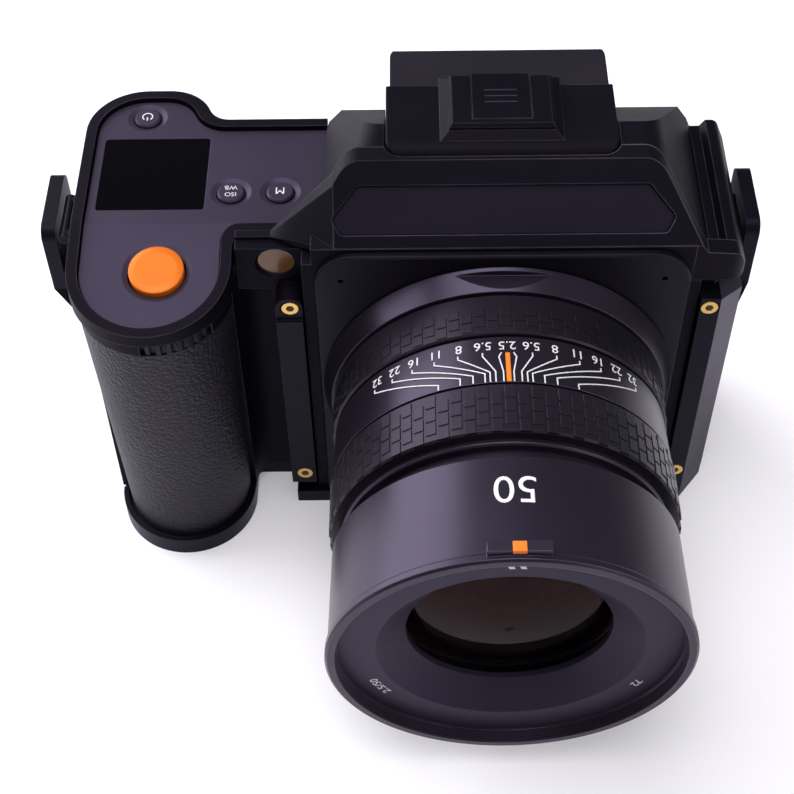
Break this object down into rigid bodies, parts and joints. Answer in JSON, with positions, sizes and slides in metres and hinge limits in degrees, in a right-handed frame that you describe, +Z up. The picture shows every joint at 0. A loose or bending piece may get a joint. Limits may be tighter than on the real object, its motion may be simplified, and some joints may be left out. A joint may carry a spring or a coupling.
{
  "type": "medium format digital camera",
  "caption": "Mirrorless medium format digital camera with grip, recessed control deck, sloping hump and a short lens with control, clutch and focus rings.",
  "frame": {"origin": "mouth of the tripod socket in the base, under the lens axis", "axes": "+Z up, -Y towards the lens's front, -X towards the grip"},
  "size_m": [0.1591, 0.1305, 0.1074],
  "materials": {
    "cage": "fine matt black anodised",
    "shell": "fine matt black coating",
    "deck": "smooth satin dark grey-violet",
    "leatherette": "pebbled black leatherette",
    "inner_metal": "bare machined",
    "mount_metal": "polished bayonet",
    "bush_metal": "threaded insert",
    "brass": "bright brass screws",
    "screw_black": "black screws",
    "orange": "orange anodised button",
    "black_plastic": "matt black",
    "display": "dark display glass",
    "optic": "coated optical glass",
    "sensor": "sensor cover glass",
    "board": "circuit board",
    "rubber": "soft matt",
    "lens_metal": "fine matt dark grey-violet anodised",
    "lens_black": "matt black",
    "amber": "brown lamp glass",
    "battery_plastic": "battery case"
  },
  "bodies": {
    "camera": {"cage_base": "cage", "tripod_bush": "bush_metal", "grip_core": "black_plastic", "chassis": "shell", "grip_leather": "leatherette", "mount_plate": "cage", "mount_ring": "mount_metal", "stage_frame": "inner_metal", "brow": "shell", "name_panel": "deck", "top_cover": "shell", "control_panel": "deck", "lcd_window": "display", "lamp_glass": "amber", "left_arm": "cage", "right_arm": "cage", "left_strip": "cage", "strip_screws": "brass", "strap_lug": "cage", "rear_cover": "shell", "thumb_rest": "rubber", "base_screws": "screw_black", "main_board": "board", "port_panel": "black_plastic", "finder_housing": "shell", "eyecup": "black_plastic", "eyepiece": "optic", "accessory_shoe": "lens_black"},
    "battery_pack": {"battery": "battery_plastic"},
    "catch": {"battery_catch": "black_plastic"},
    "release": {"lens_release": "cage"},
    "stabiliser": {"sensor_stage": "inner_metal", "sensor_glass": "sensor"},
    "power": {"power_button": "deck"},
    "iso": {"iso_button": "deck"},
    "mode": {"mode_button": "deck"},
    "shutter": {"shutter_button": "orange"},
    "play": {"play_button": "black_plastic"},
    "menu": {"menu_button": "black_plastic"},
    "focus_key": {"focus_button": "black_plastic"},
    "front_wheel": {"front_dial": "lens_black"},
    "rear_wheel": {"rear_dial": "lens_black"},
    "screen": {"screen_frame": "lens_black", "screen_glass": "display"},
    "gimbal": {"stick_ring": "inner_metal"},
    "thumb_stick": {"stick": "black_plastic"},
    "cover": {"shoe_cover": "black_plastic"},
    "door": {"port_door": "rubber"},
    "lens": {"lens_bayonet": "mount_metal", "core_tube": "lens_black", "lens_collar": "lens_metal", "scale_band": "lens_metal", "front_barrel": "lens_metal", "front_bezel": "lens_black", "front_glass": "optic", "inner_glasses": "optic", "iris_leaves": "lens_black"},
    "control": {"control_ring": "lens_metal"},
    "clutch": {"clutch_sleeve": "lens_black"},
    "focus": {"focus_ring": "lens_metal"}
  },
  "joints": [
    {"name": "shutter_press", "type": "slide", "parent": "camera", "child": "shutter", "axis": [0, 0.1736, -0.9848], "range_m": [0, 0.0012], "stiffness_N_per_m": 400},
    {"name": "power_press", "type": "slide", "parent": "camera", "child": "power", "axis": [0, 0, -1], "range_m": [0, 0.0007], "stiffness_N_per_m": 400},
    {"name": "iso_press", "type": "slide", "parent": "camera", "child": "iso", "axis": [0, 0, -1], "range_m": [0, 0.0007], "stiffness_N_per_m": 400},
    {"name": "mode_press", "type": "slide", "parent": "camera", "child": "mode", "axis": [0, 0, -1], "range_m": [0, 0.0007], "stiffness_N_per_m": 400},
    {"name": "play_press", "type": "slide", "parent": "camera", "child": "play", "axis": [0, -1, 0], "range_m": [0, 0.0006], "stiffness_N_per_m": 400},
    {"name": "menu_press", "type": "slide", "parent": "camera", "child": "menu", "axis": [0, -1, 0], "range_m": [0, 0.0006], "stiffness_N_per_m": 400},
    {"name": "focus_key_press", "type": "slide", "parent": "camera", "child": "focus_key", "axis": [0, -1, 0], "range_m": [0, 0.0006], "stiffness_N_per_m": 400},
    {"name": "release_press", "type": "slide", "parent": "camera", "child": "release", "axis": [0, 1, 0], "range_m": [0, 0.0012], "stiffness_N_per_m": 400},
    {"name": "catch_slide", "type": "slide", "parent": "camera", "child": "catch", "axis": [0, 1, 0], "range_m": [0, 0.0025], "stiffness_N_per_m": 400},
    {"name": "battery_slide", "type": "slide", "parent": "camera", "child": "battery_pack", "axis": [0, 0, -1], "range_m": [0, 0.062]},
    {"name": "stabiliser_shift", "type": "slide", "parent": "camera", "child": "stabiliser", "axis": [1, 0, 0], "range_m": [-0.0012, 0.0012]},
    {"name": "front_dial_turn", "type": "hinge", "parent": "camera", "child": "front_wheel", "pos_m": [-0.0738, -0.0252, 0.0735], "axis": [0, 0, 1], "continuous": true},
    {"name": "rear_dial_turn", "type": "hinge", "parent": "camera", "child": "rear_wheel", "pos_m": [-0.062, 0.0156, 0.0803], "axis": [0, 0, 1], "continuous": true},
    {"name": "screen_tilt", "type": "hinge", "parent": "camera", "child": "screen", "pos_m": [0.003, 0.0182, 0.0694], "axis": [1, 0, 0], "range_deg": [0, 70]},
    {"name": "stick_rock", "type": "hinge", "parent": "camera", "child": "gimbal", "pos_m": [-0.051, 0.0162, 0.05], "axis": [1, 0, 0], "range_deg": [-8, 8], "stiffness_Nm_per_rad": 0.05},
    {"name": "stick_sway", "type": "hinge", "parent": "gimbal", "child": "thumb_stick", "pos_m": [-0.051, 0.0162, 0.05], "axis": [0, 0, 1], "range_deg": [-8, 8], "stiffness_Nm_per_rad": 0.05},
    {"name": "cover_slide", "type": "slide", "parent": "camera", "child": "cover", "axis": [0, 1, 0], "range_m": [0, 0.022]},
    {"name": "door_swing", "type": "hinge", "parent": "camera", "child": "door", "pos_m": [0.0519, 0.0099, 0.037], "axis": [0, 0, 1], "range_deg": [0, 100]},
    {"name": "lens_twist", "type": "hinge", "parent": "camera", "child": "lens", "pos_m": [0, -0.024, 0.047], "axis": [0, -1, 0], "range_deg": [0, 60]},
    {"name": "control_turn", "type": "hinge", "parent": "lens", "child": "control", "pos_m": [0, -0.035, 0.047], "axis": [0, -1, 0], "continuous": true},
    {"name": "clutch_slide", "type": "slide", "parent": "lens", "child": "clutch", "axis": [0, -1, 0], "range_m": [0, 0.0044]},
    {"name": "focus_turn", "type": "hinge", "parent": "clutch", "child": "focus", "pos_m": [0, -0.06, 0.047], "axis": [0, -1, 0], "continuous": true}
  ]
}
